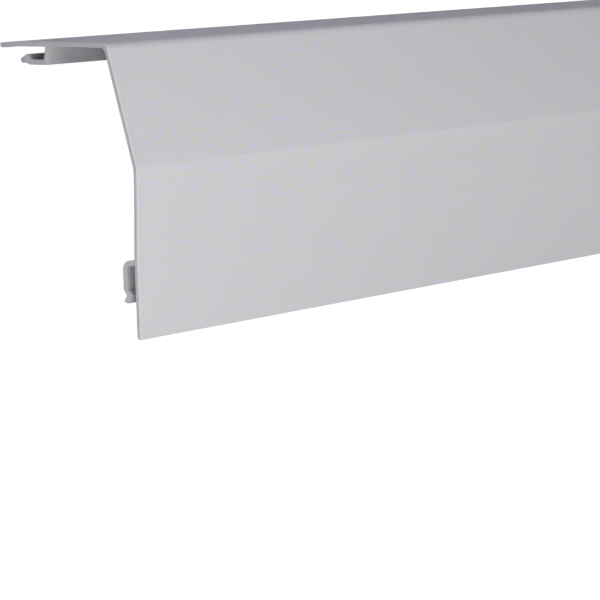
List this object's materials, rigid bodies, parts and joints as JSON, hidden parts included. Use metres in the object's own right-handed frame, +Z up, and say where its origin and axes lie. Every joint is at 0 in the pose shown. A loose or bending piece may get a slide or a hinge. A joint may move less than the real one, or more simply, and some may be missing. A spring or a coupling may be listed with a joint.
{
  "type": "cable trunking cover",
  "caption": "Angled clip-on cover strip of a cable trunking: upright leg, inclined face, flange with an overhanging lip, and clip hooks behind it, in light grey plastic.",
  "frame": {"origin": "bottom centre of the strip's box, on the floor that its foot and lip rest on", "axes": "+X along the length, +Y from the leg's foot towards the tip of the lip, +Z up with the outer skin on top"},
  "size_m": [2, 0.1396, 0.0542],
  "materials": {
    "grey_plastic": "satin light grey rigid plastic, plain saw-cut ends"
  },
  "bodies": {
    "root": {"trunking_cover": "grey_plastic"}
  },
  "joints": []
}
